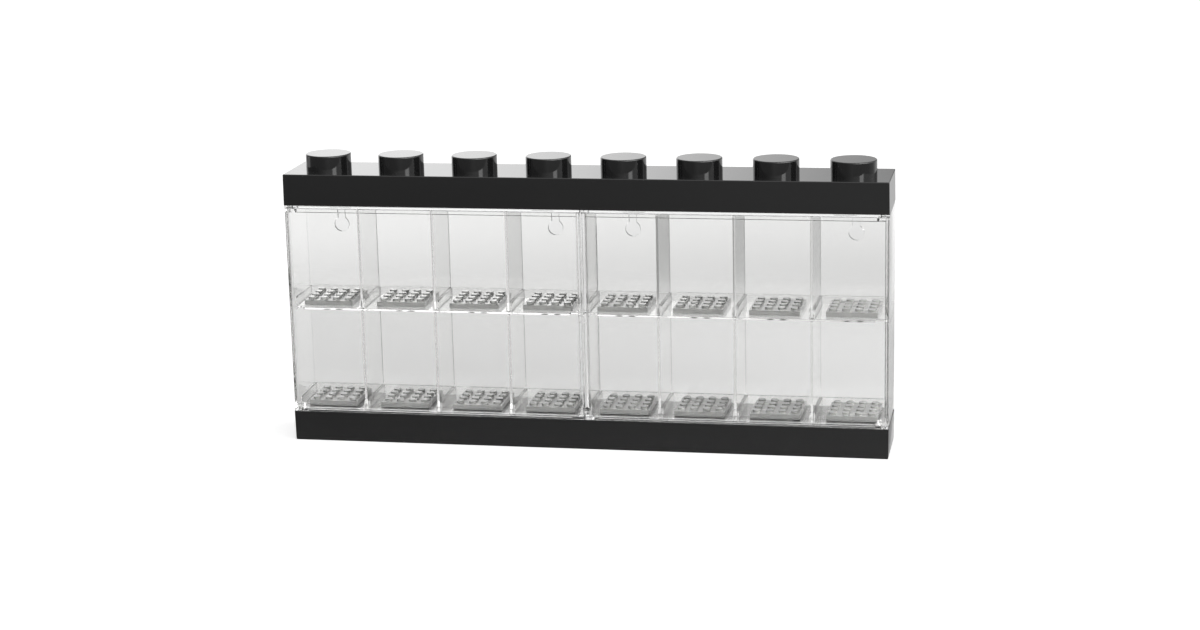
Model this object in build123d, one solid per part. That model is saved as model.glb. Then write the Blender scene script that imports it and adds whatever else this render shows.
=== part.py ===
from build123d import *
from math import hypot, sqrt
import os

# A display case for small toy figures. Two clear boxes stand side by side between a black base and
# a black cap, and each holds two rows of four cells. In every cell a small stud plate sits on four
# pegs, and each box is closed by one clear door that turns on pins at its outer end.
# X runs along the case, Y to the back, Z up. The origin is under the middle of the base.

# Layout of the cells
cells = 4                   # cells across one clear box
cell_pitch = 47.75
row_height = 65.2           # free height of a cell
case_depth = 47.0

# Black base and cap
base_height = 19.2
cap_height = 19.8
case_wall = 2.0
deck_thickness = 2.0
deck_recess = 1.2           # the deck lies this far under the base's rim
mould_draft = 0.7           # degrees
case_corner = 0.8           # radius of the upright corners
case_edge = 0.5             # radius of the cap's top edge and the base's foot
rib_thickness = 1.5
rib_depth = 9.0

# Large studs on the cap, and the rails under the base that take them
stud_radius = 14.4
stud_height = 10.0
stud_wall = 2.0
stud_edge = 0.7
socket_gap = 0.15
rail_thickness = 1.6
rail_lift = 0.4

# Clear boxes
setback = 0.2               # the clear pieces stand this far inside the black ones
seam_gap = 0.4              # between the two boxes
seat_gap = 0.1              # between pieces that rest on each other
side_wall = 1.8
back_wall = 2.0
box_floor = 1.6
box_roof = 1.5
box_corner = 0.8
sill_height = 1.8           # front sill above the base's rim
sill_depth = 3.0
ledge_size = 1.6
ledge_length = 30.0

# Keyholes in the back wall, for hanging the case on screws
keyhole_offset = 70.5       # from the middle of a box
keyhole_height = 133.5      # middle of the round part above the table
keyhole_radius = 4.75
keyhole_slot_radius = 2.4
keyhole_rise = 9.5          # the slot's round end above the middle of the head

# Snap hooks of the clear boxes, which reach into the cap and through the base's deck
hook_width = 14.0
hook_thickness = 1.6
hook_inset = 4.5            # from the case's face to a hook's outer face
hook_spread = 66.0          # from the middle of a box
hook_barb = 0.9
hook_gap = 0.2
hook_tip = 2.0
catch_height = 4.0          # catch ledge above the cap's lower edge
catch_thickness = 1.4

# Trays with divider slots, and the dividers
tray_floor = 1.2
tray_setback = 3.3          # a tray's front edge behind the door's front face
tray_gap = 0.15
rim_height = 5.6
rim_thickness = 1.2
rib_wall = 1.0
rib_setback = 1.0
rib_nose = 4.0              # radius of a rib's front end
divider_thickness = 1.5
divider_play = 0.15
divider_corner = 2.0

# Stud plates and the pegs that hold them
grid = 8.0
plate_grid = 4              # studs along each side of a plate
plate_play = 0.2            # a plate is this much smaller than its grid
plate_height = 3.2
plate_top = 1.2
plate_wall = 1.5
plate_space = 2.9           # between a plate and the back wall
plate_stud_radius = 2.4
plate_stud_height = 1.7
tube_radius = 3.2
clutch_gap = 0.25
peg_height = 1.6

# Doors
pane_thickness = 1.5
door_gap = 0.5              # above the sill and under the roof
door_rim = 2.4
door_rim_depth = 1.5        # top and bottom rims, behind the pane
latch_rim_depth = 7.1       # upright rim at the middle of the case, from the front face
latch_gap = 0.3
knuckle_radius = 3.8        # the hinge end is rounded about the pin
pin_setback = 2.8           # pin axis behind the door's front face
front_corner = 1.5
hinge_gap = 0.4
pin_radius = 1.5
pin_fit = 0.05
pin_depth = 1.3             # pins reach this far into the sill and the roof
thrust_radius = 3.2
thrust_height = 0.4
nib_radius = 0.9
nib_inset = 4.5             # latch nibs from the door's free edge
nib_height = 0.3
gate_radius = 0.6
gate_depth = 0.4
gate_heights = (66.0, 83.0)

# Heights and faces that follow from these sizes
box_length = cells * cell_pitch
length = 2 * box_length
deck_top = base_height - deck_recess
deck_bottom = deck_top - deck_thickness
floor_bottom = deck_top + seat_gap
floor_top = floor_bottom + box_floor
rim_seat = base_height + seat_gap
sill_top = rim_seat + sill_height
tray_bottom = floor_top + seat_gap
tray_top = tray_bottom + tray_floor
shelf_bottom = tray_top + row_height
shelf_top = shelf_bottom + tray_floor
roof_bottom = shelf_top + row_height
roof_top = roof_bottom + box_roof
cap_bottom = roof_top + seat_gap
cap_top = cap_bottom + cap_height

inner_end = seam_gap / 2
outer_end = box_length - setback
clear_face = case_depth / 2 - setback
cavity_start = inner_end + side_wall
cavity_end = outer_end - side_wall
cavity_back = clear_face - back_wall
cavity_middle = (cavity_start + cavity_end) / 2
hook_place = case_depth / 2 - hook_inset
tray_front = clear_face - tray_setback
plate_width = plate_grid * grid - plate_play
plate_centre = cavity_back - plate_space - plate_width / 2
cell_centres = [cell_pitch * (i + 0.5) for i in range(cells)]
divider_places = [cell_pitch * (i + 1) for i in range(cells - 1)]

door_start = inner_end + setback
door_bottom = sill_top + door_gap
door_top = roof_bottom - door_gap
pivot_x = outer_end - knuckle_radius
pivot_y = pin_setback - clear_face
corner_reach = hypot(knuckle_radius - front_corner, pin_setback - front_corner) + front_corner
sweep_radius = corner_reach + hinge_gap
latch_rim_back = latch_rim_depth - clear_face
notch_length = cavity_end - pivot_x + sweep_radius
notch_back = pivot_y + sweep_radius


def plan(x0, x1, y0, y1, z=0.0):
    """A rectangle between these corners, on a level plane."""
    return Pos((x0 + x1) / 2, (y0 + y1) / 2, z) * Rectangle(x1 - x0, y1 - y0)


def block(x0, x1, y0, y1, z0, z1):
    """A level rectangle raised from z0 to z1."""
    return extrude(plan(x0, x1, y0, y1, z0), amount=z1 - z0)


def disc(radius, x, y, z0, z1):
    """An upright cylinder from z0 to z1."""
    return extrude(Pos(x, y, z0) * Circle(radius), amount=z1 - z0)


def drafted(inset, start, end):
    """The case's outline, drawn in by inset, from its wide level at start to end."""
    facing = Plane(origin=(0, 0, start), x_dir=(1, 0, 0), z_dir=(0, 0, 1 if end > start else -1))
    outline = RectangleRounded(length - 2 * inset, case_depth - 2 * inset, case_corner)
    return extrude(facing * outline, amount=abs(end - start), taper=mould_draft)


def both_boxes(offset):
    """X places at this distance to each side of the middle of each clear box."""
    return [side * (box_length / 2 + turn * offset) for side in (-1, 1) for turn in (-1, 1)]


def cross_ribs(bottom, top):
    """Ribs across the case at each boundary between cells, with their ends inside the walls."""
    end = (case_depth - case_wall) / 2
    places = [i * cell_pitch - box_length for i in range(1, 2 * cells)]
    return [block(x - rib_thickness / 2, x + rib_thickness / 2, -end, end, bottom, top) for x in places]


def make_base():
    """Black moulding, open underneath, with rails that take the studs of a case below it."""
    body = drafted(0, base_height, 0)
    foot = body.edges().group_by(Axis.Z)[0]
    body = fillet(foot, case_edge)
    body -= drafted(case_wall, deck_bottom, 0)
    body -= drafted(case_wall, base_height, deck_top)
    rail_end = box_length - case_wall / 2
    for side in (-1, 1):
        near = stud_radius + socket_gap
        rail = sorted((side * near, side * (near + rail_thickness)))
        body += block(-rail_end, rail_end, rail[0], rail[1], rail_lift, deck_bottom)
    body += cross_ribs(deck_bottom - rib_depth, deck_bottom)
    for x in both_boxes(hook_spread):
        for side in (-1, 1):
            slot = sorted((side * (hook_place + hook_gap), side * (hook_place - hook_thickness - hook_barb)))
            half = hook_width / 2 + hook_gap
            body -= block(x - half, x + half, slot[0], slot[1], deck_bottom - hook_tip, deck_top)
    return body


def make_cap():
    """Black moulding with eight hollow studs on top and a catch ledge inside for the hooks."""
    body = drafted(0, cap_bottom, cap_top)
    body = fillet(body.edges().group_by(Axis.Z)[-1], case_edge)
    spots = [Pos(i * cell_pitch - box_length + cell_pitch / 2, 0, cap_top) for i in range(2 * cells)]
    stud = extrude(Circle(stud_radius), amount=stud_height)
    stud = fillet(stud.edges().group_by(Axis.Z)[-1], stud_edge)
    body += [spot * stud for spot in spots]
    inside = drafted(case_wall, cap_bottom, cap_top - deck_thickness)
    catch_low = cap_bottom + catch_height
    catch_inner = hook_place + hook_gap
    band = block(-box_length, box_length, catch_inner, case_depth / 2, catch_low, catch_low + catch_thickness)
    inside -= [band, mirror(band, Plane.XZ)]
    inside -= cross_ribs(cap_top - deck_thickness - rib_depth, cap_top - deck_thickness)
    body -= inside
    hollow_top = cap_top + stud_height - stud_wall
    body -= [disc(stud_radius - stud_wall, spot.position.X, 0, cap_top - deck_thickness, hollow_top)
             for spot in spots]
    return body


def keyhole(x):
    """Round head with a slot above it, cut through the back wall."""
    facing = Plane(origin=(x, cavity_back, keyhole_height), x_dir=(1, 0, 0), z_dir=(0, -1, 0))
    slot = Pos(0, keyhole_rise / 2) * Rectangle(2 * keyhole_slot_radius, keyhole_rise)
    end = Pos(0, keyhole_rise) * Circle(keyhole_slot_radius)
    outline = Circle(keyhole_radius) + [slot, end]
    return extrude(facing * outline, amount=back_wall, both=True)


def hook(x, side, root, tip):
    """A flat tongue from root to tip, with a barb on its outer face at the tip."""
    up = 1 if tip > root else -1
    near = hook_place - hook_thickness
    barb_root = tip - up * hook_tip
    profile = Polyline(
        (side * near, root), (side * hook_place, root), (side * hook_place, barb_root),
        (side * (hook_place + hook_barb), barb_root), (side * hook_place, tip), (side * near, tip),
        close=True)
    face = Plane(origin=(x - hook_width / 2, 0, 0), x_dir=(0, 1, 0), z_dir=(1, 0, 0)) * make_face(profile)
    return extrude(face, amount=hook_width, dir=(1, 0, 0))


def make_shell():
    """Clear box of the right-hand half, one moulding that is open at the front."""
    height = roof_top - rim_seat
    outline = Pos((inner_end + outer_end) / 2, 0, rim_seat) * RectangleRounded(
        outer_end - inner_end, 2 * clear_face, box_corner)
    body = extrude(outline, amount=height)
    plug_end = box_length - case_wall - setback
    plug_face = case_depth / 2 - case_wall - setback
    body += block(inner_end, plug_end, -plug_face, plug_face, floor_bottom, rim_seat)

    # The space inside, the step behind the sill, and the corner pads under the door's ends
    body -= block(cavity_start, cavity_end, -case_depth, cavity_back, sill_top, roof_bottom)
    sunk = plan(cavity_start, cavity_end, sill_depth - clear_face, cavity_back, floor_top)
    pad_back = notch_back - hinge_gap
    sunk -= plan(cavity_start, cavity_start + notch_length - hinge_gap, -case_depth, pad_back, floor_top)
    sunk -= plan(cavity_end - notch_length + hinge_gap, cavity_end, -case_depth, pad_back, floor_top)
    body -= extrude(sunk, amount=sill_top - floor_top)

    # Front edges of the side walls, drawn back to leave room for the door
    door_room = plan(-seam_gap, length, -case_depth, pivot_y, sill_top)
    door_room += plan(-seam_gap, cavity_middle, -case_depth, latch_rim_back + latch_gap, sill_top)
    door_room += Pos(pivot_x, pivot_y, sill_top) * Circle(sweep_radius)
    body -= extrude(door_room, amount=roof_bottom - sill_top)

    # Ledges under the shelf tray: one on each side wall, and one behind each cell
    ledge_top = shelf_bottom - seat_gap
    wedge = make_face(Polyline((0, 0), (ledge_size, 0), (ledge_size, -ledge_size / 2),
                               (0, -1.5 * ledge_size), close=True))
    half = ledge_length / 2
    along = Plane(origin=(cavity_start, plate_centre, ledge_top), x_dir=(1, 0, 0), z_dir=(0, -1, 0))
    side_ledge = extrude(along * wedge, amount=half, both=True)
    body += [side_ledge, mirror(side_ledge, Plane.YZ.offset(cavity_middle))]
    for x in cell_centres:
        across = Plane(origin=(x, cavity_back, ledge_top), x_dir=(0, -1, 0), z_dir=(-1, 0, 0))
        body += extrude(across * wedge, amount=half, both=True)

    # Bearings of the door's pins: a hole through a low thrust face at each end
    bore = pin_radius + pin_fit
    for low, high, out in ((rim_seat, sill_top, 1), (roof_bottom, roof_top, -1)):
        face = high if out > 0 else low
        rise = sorted((face, face + out * thrust_height))
        thrust = disc(thrust_radius, pivot_x, pivot_y, rise[0], rise[1])
        body += thrust & block(0, outer_end, -clear_face, 0, rise[0], rise[1])
        body -= disc(bore, pivot_x, pivot_y, min(low, rise[0]), max(high, rise[1]))

    for turn in (-1, 1):
        x = box_length / 2 + turn * hook_spread
        body -= keyhole(box_length / 2 + turn * keyhole_offset)
        for side in (-1, 1):
            top_root = cap_bottom + catch_height + catch_thickness + hook_gap
            body += hook(x, side, roof_bottom + seat_gap, top_root + hook_tip)
            body += hook(x, side, floor_top - seat_gap, deck_bottom - hook_gap - hook_tip)
    return body


def make_door():
    """Clear door of the right-hand half: a pane with rims, two pins and two latch nibs."""
    back_of_pane = pane_thickness - clear_face
    hinge_side = outer_end - door_rim
    knuckle = Pos(pivot_x, pivot_y) * Circle(knuckle_radius)
    section = plan(door_start, outer_end, -clear_face, back_of_pane)
    section += plan(door_start, door_start + door_rim, -clear_face, latch_rim_back)
    section += plan(hinge_side, outer_end, -clear_face, pivot_y)
    section += knuckle & plan(hinge_side, outer_end, pivot_y, case_depth)
    corner = section.vertices().sort_by_distance((outer_end, -clear_face, 0))[0]
    section = fillet(corner, front_corner)
    body = extrude(Pos(0, 0, door_bottom) * section, amount=door_top - door_bottom)

    # Top and bottom rims, each with a block rounded about its pin at the hinge end
    rim_back = back_of_pane + door_rim_depth
    end_block = knuckle & plan(0, length, -clear_face + front_corner, case_depth)
    end_block += plan(pivot_x - knuckle_radius, hinge_side, -clear_face, pivot_y)
    end_block += plan(door_start, pivot_x, back_of_pane, rim_back)
    for end, out in ((door_bottom, -1), (door_top, 1)):
        body += extrude(Pos(0, 0, min(end, end - out * door_rim)) * end_block, amount=door_rim)
        pin_end = end + out * (door_gap + pin_depth)
        body += disc(pin_radius, pivot_x, pivot_y, min(end, pin_end), max(end, pin_end))
        nib_end = end + out * nib_height
        body += disc(nib_radius, door_start + nib_inset, pivot_y - nib_radius, min(end, nib_end),
                     max(end, nib_end))

    for height in gate_heights:
        mark = Plane(origin=(door_start + door_rim / 2, -clear_face, height), z_dir=(0, 1, 0))
        body -= extrude(mark * Circle(gate_radius), amount=gate_depth)
    return body


def make_tray():
    """Clear tray of the right-hand half: a floor, a low rim, divider slots and pegs for plates."""
    x0 = cavity_start + tray_gap
    x1 = cavity_end - tray_gap
    back = cavity_back - tray_gap
    notch = notch_length - tray_gap
    floor = plan(x0, x1, -tray_front, back)
    floor -= plan(x0, x0 + notch, -tray_front, notch_back)
    floor -= plan(x1 - notch, x1, -tray_front, notch_back)
    body = extrude(floor, amount=tray_floor)

    half_slot = divider_thickness / 2 + divider_play
    rims = plan(x0, x1, back - rim_thickness, back)
    rims += [plan(x0, x0 + rim_thickness, notch_back, back), plan(x1 - rim_thickness, x1, notch_back, back)]
    rib_front = rib_setback - tray_front
    for x in divider_places:
        rims += plan(x - half_slot - rib_wall, x + half_slot + rib_wall, rib_front, back)
    for x in divider_places:
        rims -= plan(x - half_slot, x + half_slot, -case_depth, case_depth)
    upstand = extrude(Pos(0, 0, tray_floor) * rims, amount=rim_height)
    tops = upstand.edges().filter_by(Axis.X).group_by(Axis.Z)[-1]
    noses = [edge for edge in tops if edge.center().Y < notch_back + rim_thickness]
    body += fillet(noses, rib_nose)

    peg_radius = grid / 2 * sqrt(2) - tube_radius - clutch_gap
    pegs = [Pos(x, plate_centre, tray_floor) * spot * extrude(Circle(peg_radius), amount=peg_height)
            for x in cell_centres for spot in GridLocations(grid, grid, 2, 2)]
    return body + pegs


def make_divider():
    """Clear sheet that slides down between two ribs of a tray."""
    height = row_height - 2 * seat_gap
    front = -tray_front + divider_play
    back = cavity_back - divider_play
    sheet = Rectangle(back - front, height)
    fronts = sheet.vertices().group_by(Axis.X)[0]
    sheet = fillet(fronts, divider_corner)
    upright = Plane(origin=(0, (front + back) / 2, height / 2), x_dir=(0, 1, 0), z_dir=(1, 0, 0))
    return extrude(upright * sheet, amount=divider_thickness / 2, both=True)


def make_plate():
    """Square stud plate, hollow underneath with gripping tubes."""
    inside = plate_width - 2 * plate_wall
    tube_height = plate_height - plate_top
    body = extrude(Rectangle(plate_width, plate_width), amount=plate_height)
    body -= extrude(Rectangle(inside, inside), amount=tube_height)
    tube = extrude(Circle(tube_radius) - Circle(plate_stud_radius), amount=tube_height)
    body += [spot * tube for spot in GridLocations(grid, grid, plate_grid - 1, plate_grid - 1)]
    stud = Pos(0, 0, plate_height) * extrude(Circle(plate_stud_radius), amount=plate_stud_height)
    body += [spot * stud for spot in GridLocations(grid, grid, plate_grid, plate_grid)]
    return body


def left_and_right(piece, name):
    """The right-hand piece and its mirror image, each under its own name."""
    return {name + "_right": piece, name + "_left": mirror(piece, Plane.YZ)}


parts = {"base": make_base(), "top_cap": make_cap()}
parts.update(left_and_right(make_shell(), "shell"))
parts.update(left_and_right(make_door(), "door"))

tray = make_tray()
parts.update(left_and_right(Pos(0, 0, tray_bottom) * tray, "floor_tray"))
parts.update(left_and_right(Pos(0, 0, shelf_bottom) * tray, "shelf_tray"))

divider = make_divider()
plate = make_plate()
for row, seat in (("lower", tray_top + seat_gap), ("upper", shelf_top + seat_gap)):
    divider_x = sorted(side * x for side in (-1, 1) for x in divider_places)
    for number, x in enumerate(divider_x, 1):
        parts[f"divider_{row}_{number}"] = Pos(x, 0, seat) * divider
    plate_x = sorted(side * x for side in (-1, 1) for x in cell_centres)
    for number, x in enumerate(plate_x, 1):
        parts[f"plate_{row}_{number}"] = Pos(x, plate_centre, seat) * plate

os.makedirs("parts", exist_ok=True)
for name, shape in parts.items():
    export_step(shape, f"parts/{name}.step")
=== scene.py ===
from math import degrees, radians

import bmesh
import bpy
from mathutils import Matrix, Vector


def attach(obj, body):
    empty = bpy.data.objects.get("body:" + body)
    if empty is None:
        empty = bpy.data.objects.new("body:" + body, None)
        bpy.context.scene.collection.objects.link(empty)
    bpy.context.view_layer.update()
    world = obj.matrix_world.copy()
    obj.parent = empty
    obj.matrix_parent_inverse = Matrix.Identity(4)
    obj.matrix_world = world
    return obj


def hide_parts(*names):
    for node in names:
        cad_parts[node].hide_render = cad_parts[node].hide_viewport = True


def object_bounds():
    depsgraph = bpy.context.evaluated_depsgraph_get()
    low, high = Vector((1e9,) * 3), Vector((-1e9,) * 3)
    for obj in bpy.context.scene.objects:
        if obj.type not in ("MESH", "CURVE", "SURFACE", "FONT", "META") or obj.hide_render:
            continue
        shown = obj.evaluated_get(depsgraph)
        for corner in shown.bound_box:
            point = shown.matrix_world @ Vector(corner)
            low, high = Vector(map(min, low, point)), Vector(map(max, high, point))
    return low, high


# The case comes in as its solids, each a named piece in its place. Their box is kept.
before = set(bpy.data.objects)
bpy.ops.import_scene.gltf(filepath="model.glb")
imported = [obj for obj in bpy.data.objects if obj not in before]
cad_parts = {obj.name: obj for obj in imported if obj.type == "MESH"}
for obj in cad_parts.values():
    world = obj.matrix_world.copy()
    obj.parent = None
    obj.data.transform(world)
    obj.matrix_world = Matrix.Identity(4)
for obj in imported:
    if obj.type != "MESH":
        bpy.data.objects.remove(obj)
solids_box = [list(corner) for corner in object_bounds()]
scene = bpy.context.scene
scene.view_settings.view_transform = "Standard"

# The camera stands to the right of the case and a little above it, and looks down along a lens of
# 75 mm. Its place and turn are those at which the outline falls on the photograph's.
camera_place = Vector((0.3044, -1.5042, 0.4563))
camera_turn = radians(11.193)
camera_dip = radians(13.722)
camera_roll = radians(-1.323)
camera = bpy.data.objects.new("camera", bpy.data.cameras.new("camera"))
camera.data.lens = 74.78
camera.data.sensor_width = 36.0
camera.data.clip_start = 0.05
camera.data.clip_end = 60.0
camera.matrix_world = (
    Matrix.Translation(camera_place)
    @ Matrix.Rotation(camera_turn, 4, "Z")
    @ Matrix.Rotation(radians(90) - camera_dip, 4, "X")
    @ Matrix.Rotation(camera_roll, 4, "Z")
)
scene.collection.objects.link(camera)
scene.camera = camera


# The studio is pale, with soft light all round and cards and cloths for the glossy plastic to
# mirror. To the eye its surroundings are white. What a ray finds there depends on its direction and
# on whether it comes from the camera, a mirroring face, a clear piece or a dull one.
class Field:
    """One output of a shader node. Sums and products of fields add the Math nodes they need."""

    def __init__(self, tree, socket=None):
        self.tree = tree
        self.socket = socket

    def make(self, kind, settings=(), values=(), output=0):
        node = self.tree.nodes.new(kind)
        for name, value in dict(settings).items():
            setattr(node, name, value)
        for name, value in dict(values).items():
            if isinstance(value, Field):
                self.tree.links.new(value.socket, node.inputs[name])
            else:
                node.inputs[name].default_value = value
        return Field(self.tree, node.outputs[output])

    def math(self, operation, first, second=0.0):
        return self.make("ShaderNodeMath", {"operation": operation}, {0: first, 1: second})

    def finish(self, kind, surface):
        """Ends the tree in its output node."""
        output = self.tree.nodes.new(kind)
        self.tree.links.new(surface.socket, output.inputs["Surface"])

    def __add__(self, other):
        return self.math("ADD", self, other)

    __radd__ = __add__

    def __mul__(self, other):
        return self.math("MULTIPLY", self, other)

    __rmul__ = __mul__

    def __sub__(self, other):
        return self.math("SUBTRACT", self, other)

    def __rsub__(self, other):
        return self.math("SUBTRACT", other, self)

    def __truediv__(self, other):
        return self.math("DIVIDE", self, other)

    def __abs__(self):
        return self.math("ABSOLUTE", self)

    def eased(self, low, high, at_low=0.0, at_high=1.0):
        """This value moved from the range low to high onto another, with soft ends."""
        return self.make(
            "ShaderNodeMapRange",
            {"interpolation_type": "SMOOTHSTEP"},
            {"Value": self, "From Min": low, "From Max": high, "To Min": at_low, "To Max": at_high},
        )

    def between(self, start, full, fading, end):
        """1 from full to fading, and 0 before start and past end."""
        return self.eased(start, full) * self.eased(end, fading)

    def bell(self, middle, width):
        """A soft peak of 1 about a middle value."""
        away = (self - middle) / width
        return self.math("EXPONENT", away * away * -1.0)

    def pick(self, at_one, at_zero):
        """The first value where this one is 1, and the second where it is 0."""
        return self * at_one + (1 - self) * at_zero


def new_tree(holder):
    """Empties a material's or world's node tree and returns a field to build it from."""
    holder.use_nodes = True
    holder.node_tree.nodes.clear()
    return Field(holder.node_tree)


def parts_of(tree, space, axes="XYZ"):
    """Parts of a texture coordinate, each as a field."""
    place = tree.make("ShaderNodeTexCoord", output=space)
    return [tree.make("ShaderNodeSeparateXYZ", (), {0: place}, axis) for axis in axes]


def ray_facts(tree):
    """Four facts about a ray, each 1 or 0: it comes straight from the camera, from a glossy face,
    from a clear face, or through clear faces alone. Polished clear plastic is glossy as well."""
    kinds = ("Is Camera Ray", "Is Glossy Ray", "Is Transmission Ray", "Glossy Depth")
    seen, mirrored, passed, mirrors = [tree.make("ShaderNodeLightPath", output=kind) for kind in kinds]
    return seen, mirrored, passed, passed * (1 - tree.math("MINIMUM", mirrors, 1.0))


def aimed(ray, lamp):
    """How closely a ray points at a lamp: 1 straight at it, and 0 square to it."""
    return sum(part * share for part, share in zip(ray, lamp))


# Directions are in degrees: across is 0 straight behind the case and grows towards +X, and high is
# above the horizon. Lights are shares of white.
world = bpy.data.worlds.new("studio")
scene.world = world
tree = new_tree(world)
seen, mirrored, passed, through = ray_facts(tree)
ray = parts_of(tree, "Generated")
east, north, up = ray
across = tree.math("ARCTAN2", east, north) * degrees(1.0)
high = tree.math("ARCSINE", up) * degrees(1.0)
behind = abs(across).eased(70.0, 40.0)

# A bright cloth hangs behind the case in three heights, each brightest at the left. The tops of the
# cap and of its studs mirror it.
top_cloth = high.eased(14.2, 15.2)
middle_cloth = high.eased(10.9, 11.7) - top_cloth
low_cloth = 1 - top_cloth - middle_cloth
cloth = low_cloth * across.eased(-17.0, 0.0, 1.95, 0.375)
cloth = cloth + middle_cloth * across.eased(-13.5, -6.0, 2.0, 0.9)
cloth = cloth + top_cloth * across.eased(-17.0, -11.0, 1.1, 0.62)
cloth = cloth * high.eased(-2.0, 3.0)

# Below the horizon lies the backdrop that the cells show. A view through one sheet alone, as in a
# keyhole, has lost less light than one through two, and is dimmed to match.
sheet_loss = 0.13
faces = tree.make("ShaderNodeLightPath", output="Transmission Depth")
one_sheet = through * faces.eased(3.5, 2.5)
backdrop = high.eased(-12.9, -11.3, 0.0, 0.16) + across.eased(-17.0, -5.0, 0.93, 0.85)
backdrop = backdrop * high.eased(3.0, -2.0) * (1 - one_sheet * sheet_loss)

# A dim gap in it at the right gives the sides of the cells their grey bands.
gap = across.bell(9.9, 4.264) * 0.72 + across.bell(3.6, 1.581) * 0.25
backdrop = backdrop * (1 - gap * high.between(-15.0, -11.5, 2.0, 6.0))

# In front, black pieces mirror a dim room that is lighter to the right and overhead, and clear
# pieces a lit strip of ceiling. A card and a softbox at the right give the studs and the case's end
# their bright faces. Seen from behind, straight through the clear pieces, the room is evenly light.
card_light = 7.0
softbox_light = 3.5
strip_light = 2.0
dark_room = 0.04
far_light = 0.85
ceiling = high.eased(-4.0, 8.0) * east.eased(-0.9, 0.5, 0.2, 1.2)
room = east.eased(-0.9, 0.3, 0.12, 0.55) + ceiling
strip = high.between(12.0, 16.0, 60.0, 75.0) * strip_light + dark_room
card = across.between(122.0, 130.0, 142.0, 149.0) * high.between(6.0, 10.0, 28.0, 34.0)
softbox = abs(across - 112.0).eased(50.0, 25.0) * high.between(14.0, 30.0, 60.0, 80.0)
front = passed.pick(strip, room) + card * card_light + softbox * softbox_light
front = through.pick(far_light, front)
sharp = behind.pick(cloth + backdrop, front)

# Dull faces gather their light from the upper right. The stud plates gather theirs through the
# clear pieces, from a stronger and narrower lamp.
room_lamp = (0.62, -0.45, 0.64)
plate_lamp = (0.68, -0.34, 0.65)
key = aimed(ray, room_lamp).eased(-0.2, 1.0, 0.16, 1.15)
plate_key = aimed(ray, plate_lamp).eased(0.5, 0.95, 1.1, 7.4)
scattered = tree.math("MINIMUM", tree.make("ShaderNodeLightPath", output="Diffuse Depth"), 1.0)
level = seen.pick(1.0, mirrored.pick(scattered.pick(plate_key, sharp), key))
background = tree.make("ShaderNodeBackground", (), {"Color": (1, 1, 1, 1), "Strength": level})
tree.finish("ShaderNodeOutputWorld", background)

# Light goes through many faces of the clear pieces before it comes out again.
scene.cycles.max_bounces = 32
scene.cycles.glossy_bounces = 20
scene.cycles.transmission_bounces = 32

# The floor is a sheet of white paper that runs out under the surroundings. Places on it are in
# metres: aside grows to the right and depth to the back.
floor_half = 15.0
floor_mesh = bpy.data.meshes.new("floor")
corners = [(x * floor_half, y * floor_half, 0) for x, y in ((-1, -1), (1, -1), (1, 1), (-1, 1))]
floor_mesh.from_pydata(corners, [], [(0, 1, 2, 3)])
floor = bpy.data.objects.new("floor", floor_mesh)
scene.collection.objects.link(floor)
floor_paper = bpy.data.materials.new("floor_paper")
tree = new_tree(floor_paper)
seen, mirrored, passed, through = ray_facts(tree)
aside, depth = parts_of(tree, "Object", "XY")

# The paper glows white to the eye, and less brightly in what mirrors it or lets it through, where it
# lies behind the case. Just past the case's right end its mirror image is dim.
paper_white = 0.8
paper_glow = 0.6
case_end = solids_box[1][0]
beside = 1 - (1 - passed) * aside.eased(case_end + 0.0002, case_end + 0.0025, 0.0, 0.7)
back_paper = tree.math("MAXIMUM", mirrored * depth.eased(-0.1, 0.1), through)
glow = seen * paper_glow + back_paper * aside.eased(-0.2, 0.25, 0.31, 0.40) * beside

# In front of the case it is darker in the black pieces, and nearly black in the clear ones, which
# would look milky otherwise.
clear_shade = 0.93
black_shade = aside.eased(-0.35, 0.2, 0.6, 0.25)
shade = tree.math("MAXIMUM", black_shade, passed * clear_shade) * (1 - through)
shade = tree.math("MAXIMUM", shade * depth.eased(0.05, -0.05), 0.5 - beside * 0.5) * mirrored
paper = tree.make(
    "ShaderNodeBsdfPrincipled",
    (),
    {"Base Color": paper_white - paper_white * shade, "Roughness": 0.9, "Specular IOR Level": 0.0,
     "Emission Color": (1, 1, 1, 1), "Emission Strength": glow},
)

# Further off it gives way to the surroundings for every ray but the camera's.
clear_view = tree.make("ShaderNodeBsdfTransparent")
distant = (1 - seen) * tree.math("MAXIMUM", depth.eased(0.25, 0.5), depth.eased(-0.9, -1.4))
edge = tree.make("ShaderNodeMixShader", (), {0: distant, 1: paper, 2: clear_view})
tree.finish("ShaderNodeOutputMaterial", edge)
floor.data.materials.append(floor_paper)


# The base and the cap are hollow mouldings of black plastic with a high gloss, and the clear boxes
# snap in between them. The base gets the small radius that a mould leaves on every edge, and the
# cap's solid has its own already.
same_place = 1e-6
flat_angle = radians(0.5)
sharp_angle = radians(30)


def moulded(node, edge):
    """A copy of a solid's mesh with its seams closed and its sharp edges rounded to a radius."""
    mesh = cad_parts[node].data.copy()
    if "custom_normal" in mesh.attributes:
        mesh.attributes.remove(mesh.attributes["custom_normal"])
    work = bmesh.new()
    work.from_mesh(mesh)
    bmesh.ops.remove_doubles(work, verts=work.verts, dist=same_place)
    bmesh.ops.dissolve_limit(work, angle_limit=flat_angle, verts=work.verts, edges=work.edges)
    work.to_mesh(mesh)
    work.free()
    mesh.shade_smooth()
    rough = bpy.data.objects.new(node + "_copy", mesh)
    scene.collection.objects.link(rough)
    rounding = rough.modifiers.new("rounding", "BEVEL")
    rounding.width = edge
    rounding.segments = 2
    rounding.limit_method = "ANGLE"
    rounding.angle_limit = sharp_angle
    rounding.use_clamp_overlap = False
    rounding.harden_normals = True
    return plain_mesh(rough)


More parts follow.
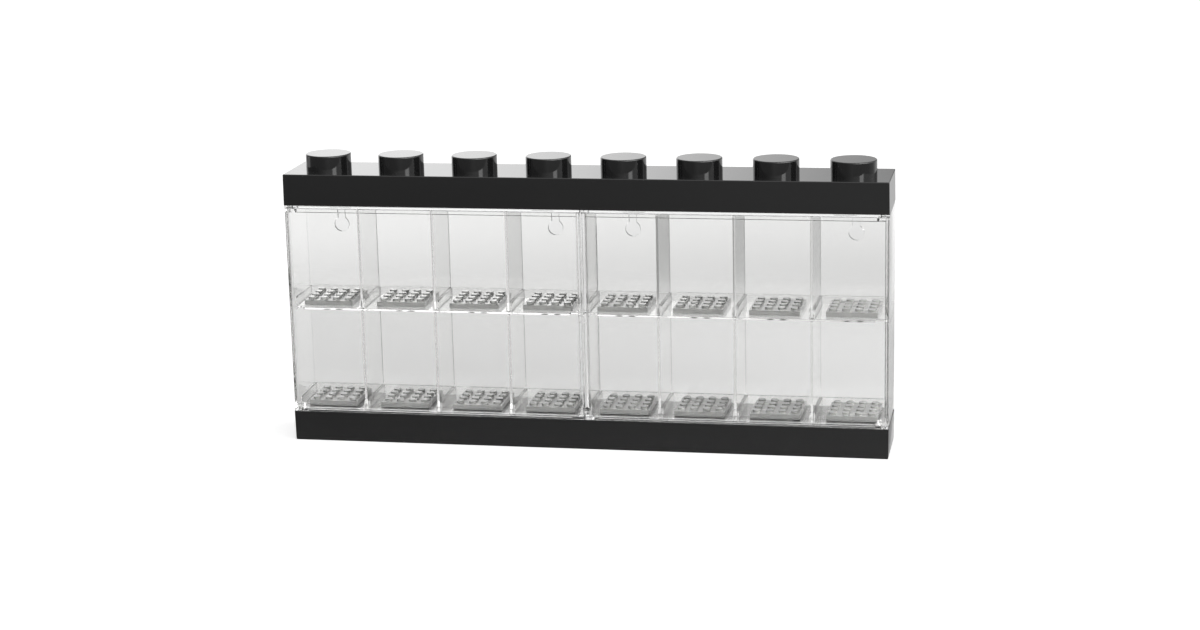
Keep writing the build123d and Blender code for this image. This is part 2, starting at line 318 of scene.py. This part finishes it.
def plain_mesh(thing):
    """The mesh that an object's modifiers give. The object itself goes."""
    bpy.context.view_layer.update()
    evaluated = thing.evaluated_get(bpy.context.evaluated_depsgraph_get())
    mesh = bpy.data.meshes.new_from_object(evaluated)
    bpy.data.objects.remove(thing)
    return mesh


def fit(name, mesh, material, body, nodes):
    """Puts a finished piece in the scene, on its body, in place of its solids."""
    mesh.materials.clear()
    mesh.materials.append(material)
    piece = bpy.data.objects.new(name, mesh)
    scene.collection.objects.link(piece)
    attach(piece, body)
    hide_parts(*nodes)


mark_scale = 60.0
mark_strength = 1.8
wave_height = 0.0002


def finish_of(name, color, roughness, scale, bump, **settings):
    """A moulded plastic: one colour, fine waviness left by the mould, and faint handling marks."""
    material = bpy.data.materials.new(name)
    tree = new_tree(material)
    place = tree.make("ShaderNodeTexCoord", output="Object")
    waves = tree.make("ShaderNodeTexNoise", (), {"Vector": place, "Scale": scale, "Detail": 3.0}, "Fac")
    blots = {"Vector": place, "Scale": mark_scale, "Detail": 6.0}
    marks = tree.make("ShaderNodeTexNoise", (), blots, "Fac")
    rough = marks.eased(0.4, 0.75, roughness, roughness * mark_strength)
    relief = {"Height": waves, "Strength": bump, "Distance": wave_height}
    normal = tree.make("ShaderNodeBump", (), relief, "Normal")
    values = {"Base Color": color, "Roughness": rough, "Normal": normal}
    values.update(settings)
    plastic = tree.make("ShaderNodeBsdfPrincipled", (), values)
    tree.finish("ShaderNodeOutputMaterial", plastic)
    return material


mould_radius = 0.0002
black = finish_of("black_plastic", (0.015, 0.015, 0.0152, 1), roughness=0.06, scale=350.0, bump=0.05)
fit("base_moulding", moulded("base", mould_radius), black, "case", ["base"])
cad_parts["top_cap"].material_slots[0].material = black


# Each box is one moulding of polished clear plastic, open at the front. Its two trays rest on its
# floor and on ledges, and its door turns on pins in the sill and the roof.
def clear_finish(name, color):
    """Clear plastic without waves or marks, polished on both sides."""
    material = bpy.data.materials.new(name)
    tree = new_tree(material)
    values = {"Base Color": color, "Roughness": 0.0, "Transmission Weight": 1.0, "IOR": 1.57}
    tree.finish("ShaderNodeOutputMaterial", tree.make("ShaderNodeBsdfPrincipled", (), values))
    return material


clear = clear_finish("clear_plastic", (0.97, 0.97, 0.966, 1))
for side in ("left", "right"):
    bodies = {"shell": "case", "floor_tray": "case", "shelf_tray": "case", "door": side + "_door"}
    for node, body in bodies.items():
        name = node + "_" + side
        fit(name + "_moulding", moulded(name, mould_radius), clear, body, [name])


# Dividers are clear sheets that stand in the trays' slots, and the grey stud plates are mouldings
# pressed onto the trays' pegs. Both stand in rows, so a node tree sets copies of the first one
# along its row.
def row_tree():
    """A tree that repeats its geometry along X, with an empty place where Skip says."""
    tree = bpy.data.node_groups.new("row_of_copies", "GeometryNodeTree")
    inputs = (("Geometry", "NodeSocketGeometry"), ("Count", "NodeSocketInt"), ("Pitch", "NodeSocketFloat"),
              ("Skip", "NodeSocketInt"), ("Plastic", "NodeSocketMaterial"))
    for name, kind in inputs:
        tree.interface.new_socket(name, in_out="INPUT", socket_type=kind)
    tree.interface.new_socket("Geometry", in_out="OUTPUT", socket_type="NodeSocketGeometry")
    field = Field(tree)
    given = {name: field.make("NodeGroupInput", output=name) for name, _ in inputs}
    step = field.make("ShaderNodeCombineXYZ", (), {"X": given["Pitch"]})
    line = field.make("GeometryNodeMeshLine", (), {"Count": given["Count"], "Offset": step})
    place = field.make("GeometryNodeInputIndex")
    empty = field.make(
        "FunctionNodeCompare", {"data_type": "INT", "operation": "EQUAL"}, {2: place, 3: given["Skip"]})
    places = field.make("GeometryNodeDeleteGeometry", (), {"Geometry": line, "Selection": empty})
    copies = field.make(
        "GeometryNodeInstanceOnPoints", (), {"Points": places, "Instance": given["Geometry"]})
    solid = field.make("GeometryNodeRealizeInstances", (), {"Geometry": copies})
    dressed = field.make("GeometryNodeSetMaterial", (), {"Geometry": solid, "Material": given["Plastic"]})
    output = tree.nodes.new("NodeGroupOutput")
    tree.links.new(dressed.socket, output.inputs["Geometry"])
    return tree


rows = row_tree()
cell_pitch = 0.04775


def row_of(node, edge, count, skip, material):
    """A row of copies of one solid, a cell apart, as a plain mesh."""
    first = bpy.data.objects.new(node + "_row", moulded(node, edge))
    scene.collection.objects.link(first)
    repeat = first.modifiers.new("row", "NODES")
    repeat.node_group = rows
    values = {"Count": count, "Pitch": cell_pitch, "Skip": skip, "Plastic": material}
    for socket in rows.interface.items_tree:
        if socket.in_out == "INPUT" and socket.name in values:
            repeat[socket.identifier] = values[socket.name]
    return plain_mesh(first)


cells = 8
walls = cells - 1
middle_wall = 3
no_empty_place = -1
sheet_radius = 0.00004
plate_radius = 0.00015
grey = finish_of("grey_plastic", (0.44, 0.442, 0.432, 1), roughness=0.2, scale=300.0, bump=0.05,
                 **{"Coat Weight": 1.0, "Coat Roughness": 0.04})
for row in ("lower", "upper"):
    sheets = [f"divider_{row}_{number}" for number in range(1, walls)]
    mesh = row_of(sheets[0], sheet_radius, walls, middle_wall, clear)
    fit(f"dividers_{row}", mesh, clear, "case", sheets)
    plates = [f"plate_{row}_{number}" for number in range(1, cells + 1)]
    mesh = row_of(plates[0], plate_radius, cells, no_empty_place, grey)
    fit(f"stud_plates_{row}", mesh, grey, "case", plates)
